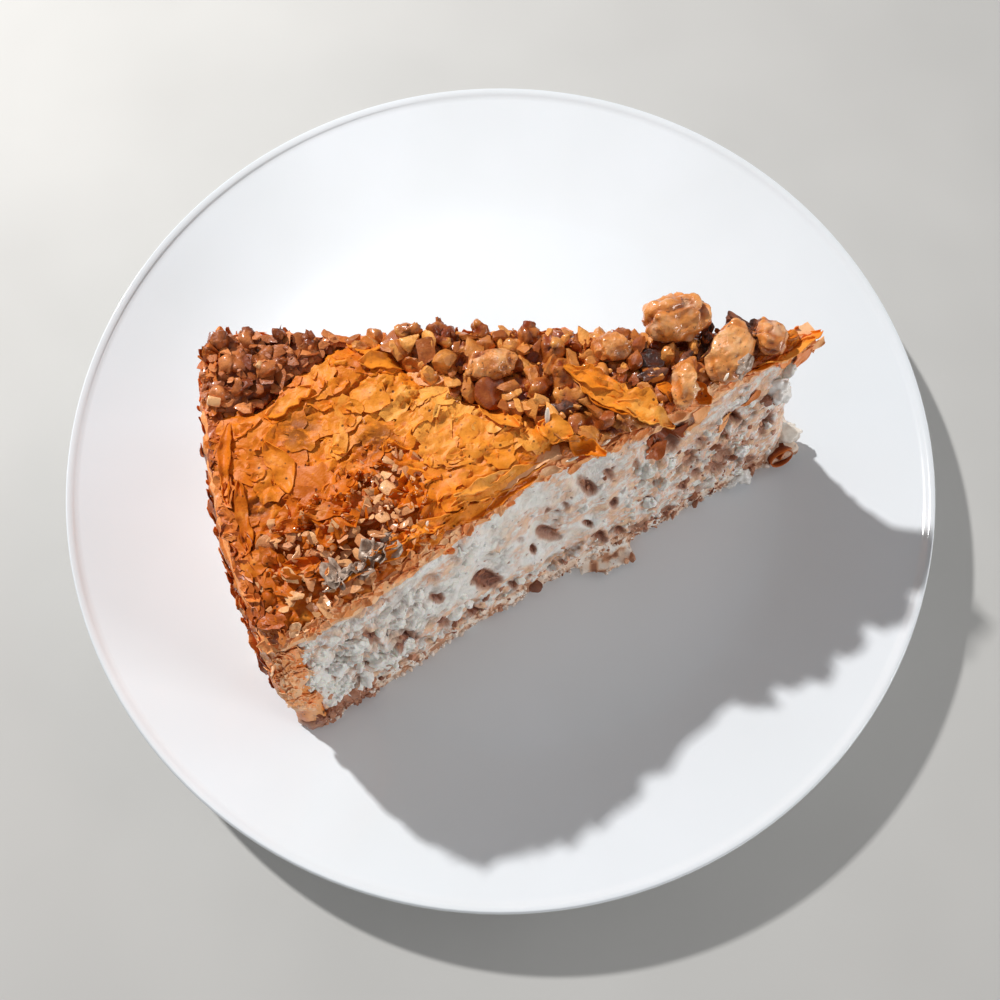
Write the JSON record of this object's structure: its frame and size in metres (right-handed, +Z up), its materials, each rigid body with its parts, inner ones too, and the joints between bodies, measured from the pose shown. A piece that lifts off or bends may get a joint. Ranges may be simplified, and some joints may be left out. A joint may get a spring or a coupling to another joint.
{
  "type": "plated slice of cheesecake",
  "caption": "Slice of baklava cheesecake on a round white plate: golden pastry sheets, glazed walnuts, white filling, brown nut base and a pastry back wall",
  "frame": {"origin": "middle of the plate's foot, level with the table", "axes": "+Z up; +X towards the pointed end of the slice; +Y away from the viewer of the picture"},
  "size_m": [0.222, 0.222, 0.0779],
  "materials": {
    "plate": "smooth glossy white glaze",
    "nut_base": null,
    "cheese": null,
    "crust": null,
    "sheet": null,
    "nut": null,
    "walnut": null,
    "date": null
  },
  "bodies": {
    "root": {"plate": "plate", "nut_base": "nut_base", "filling": "cheese", "phyllo_wall": "crust", "phyllo_layer": "crust", "phyllo_sheets": "sheet", "nut_topping": "nut", "nut_corner": "nut", "walnut_1": "walnut", "walnut_2": "walnut", "walnut_3": "walnut", "walnut_4": "walnut", "walnut_5": "walnut", "walnut_6": "walnut", "date_piece": "date"}
  },
  "joints": []
}
